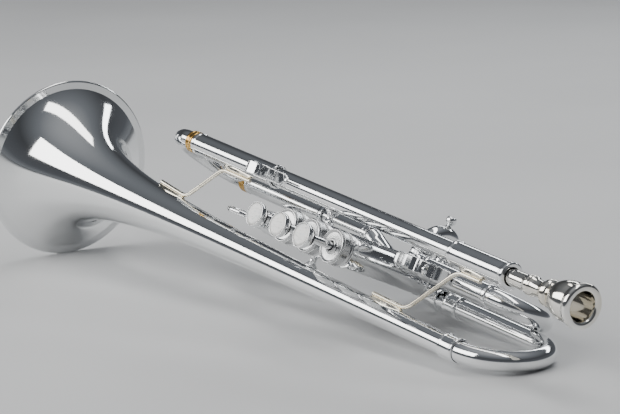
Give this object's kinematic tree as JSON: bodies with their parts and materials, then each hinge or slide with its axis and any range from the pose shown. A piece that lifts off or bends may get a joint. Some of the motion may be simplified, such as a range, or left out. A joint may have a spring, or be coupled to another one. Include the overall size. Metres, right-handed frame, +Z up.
{
  "type": "trumpet",
  "caption": "Piston-valve trumpet lying on its left side, flared bell, pearl finger buttons, pull-out slides and cup mouthpiece.",
  "frame": {"origin": "centre of the footprint on the table, at table height", "axes": "+Z up from the table; +X along the length, from the bell toward the mouthpiece; -Y the side that the finger buttons face"},
  "size_m": [0.5636, 0.1612, 0.1231],
  "materials": {
    "silver_plate": "mirror-polished silver plate over brass",
    "satin_plate": "silver plate, brushed face and knurled skirt",
    "pearl": "polished mother-of-pearl inlay",
    "felt": "dense felt washer",
    "cork": "fine-grained cork pad",
    "spring_steel": "drawn wire",
    "amber_ferrule": "aged amber brass",
    "warm_plate": "polished plate with a warm tint",
    "piston_alloy": "honed nickel-copper alloy"
  },
  "bodies": {
    "trumpet_body": {"bell": "silver_plate", "bell_bow": "silver_plate", "bell_bow_upper_ferrule": "silver_plate", "bell_bow_lower_ferrule": "silver_plate", "bell_branch": "silver_plate", "valve_1_casing": "silver_plate", "valve_1_top_cap": "satin_plate", "valve_1_bottom_cap": "satin_plate", "valve_1_spring": "spring_steel", "valve_2_casing": "silver_plate", "valve_2_top_cap": "satin_plate", "valve_2_bottom_cap": "satin_plate", "valve_2_spring": "spring_steel", "valve_3_casing": "silver_plate", "valve_3_top_cap": "satin_plate", "valve_3_bottom_cap": "satin_plate", "valve_3_spring": "spring_steel", "casing_crossover_12": "silver_plate", "casing_crossover_23": "silver_plate", "leadpipe": "silver_plate", "mouthpiece_receiver": "silver_plate", "finger_hook": "silver_plate", "tuning_sleeve_upper": "silver_plate", "tuning_sleeve_lower": "silver_plate", "valve_3_inlet_tube": "silver_plate", "first_slide_inner_tube_upper": "silver_plate", "first_slide_inner_tube_lower": "silver_plate", "third_slide_sleeve_upper": "silver_plate", "third_slide_sleeve_lower": "silver_plate", "second_slide_sleeve_upper": "silver_plate", "second_slide_sleeve_lower": "silver_plate", "front_brace": "warm_plate", "rear_brace": "warm_plate", "leadpipe_valve_brace": "silver_plate", "bell_valve_brace": "silver_plate"},
    "valve_1": {"valve_1_piston": "piston_alloy", "valve_1_button_felt": "felt", "valve_1_finger_button": "silver_plate", "valve_1_pearl": "pearl"},
    "valve_2": {"valve_2_piston": "piston_alloy", "valve_2_button_felt": "felt", "valve_2_finger_button": "silver_plate", "valve_2_pearl": "pearl"},
    "valve_3": {"valve_3_piston": "piston_alloy", "valve_3_button_felt": "felt", "valve_3_finger_button": "silver_plate", "valve_3_pearl": "pearl"},
    "mouthpiece_body": {"mouthpiece": "silver_plate"},
    "main_tuning_slide": {"tuning_slide": "silver_plate", "tuning_slide_upper_ferrule": "amber_ferrule", "tuning_slide_lower_ferrule": "amber_ferrule", "tuning_slide_brace": "silver_plate"},
    "water_key": {"water_key_lever": "silver_plate", "water_key_cork": "cork"},
    "first_valve_slide": {"first_slide": "silver_plate", "first_slide_thumb_saddle": "silver_plate"},
    "third_valve_slide": {"third_slide": "silver_plate", "third_slide_finger_ring": "silver_plate"},
    "second_valve_slide": {"second_slide": "silver_plate"}
  },
  "joints": [
    {"name": "valve_1_press", "type": "slide", "parent": "trumpet_body", "child": "valve_1", "axis": [-0.0446, 0.9088, -0.4148], "range_m": [0, 0.0161], "stiffness_N_per_m": 80, "springref_m": -0.025},
    {"name": "valve_2_press", "type": "slide", "parent": "trumpet_body", "child": "valve_2", "axis": [-0.0446, 0.9088, -0.4148], "range_m": [0, 0.0161], "stiffness_N_per_m": 80, "springref_m": -0.025},
    {"name": "valve_3_press", "type": "slide", "parent": "trumpet_body", "child": "valve_3", "axis": [-0.0446, 0.9088, -0.4148], "range_m": [0, 0.0161], "stiffness_N_per_m": 80, "springref_m": -0.025},
    {"name": "main_tuning_slide_pull", "type": "slide", "parent": "trumpet_body", "child": "main_tuning_slide", "axis": [-0.9943, 0, 0.1068], "range_m": [0, 0.04]},
    {"name": "first_slide_pull", "type": "slide", "parent": "trumpet_body", "child": "first_valve_slide", "axis": [0.9943, 0, -0.1068], "range_m": [0, 0.018]},
    {"name": "second_slide_pull", "type": "slide", "parent": "trumpet_body", "child": "second_valve_slide", "axis": [0.196, 0.4151, 0.8884], "range_m": [0, 0.0045]},
    {"name": "third_slide_pull", "type": "slide", "parent": "trumpet_body", "child": "third_valve_slide", "axis": [-0.9943, 0, 0.1068], "range_m": [0, 0.024]},
    {"name": "mouthpiece_pull", "type": "slide", "parent": "trumpet_body", "child": "mouthpiece_body", "axis": [0.9943, 0, -0.1068], "range_m": [0, 0.035]},
    {"name": "water_key_hinge", "type": "hinge", "parent": "main_tuning_slide", "child": "water_key", "pos_m": [-0.14898, 0.05526, 0.05769], "axis": [-0.0971, -0.4172, -0.9036], "range_deg": [0, 5], "stiffness_Nm_per_rad": 0.05, "springref_deg": -11.46}
  ]
}
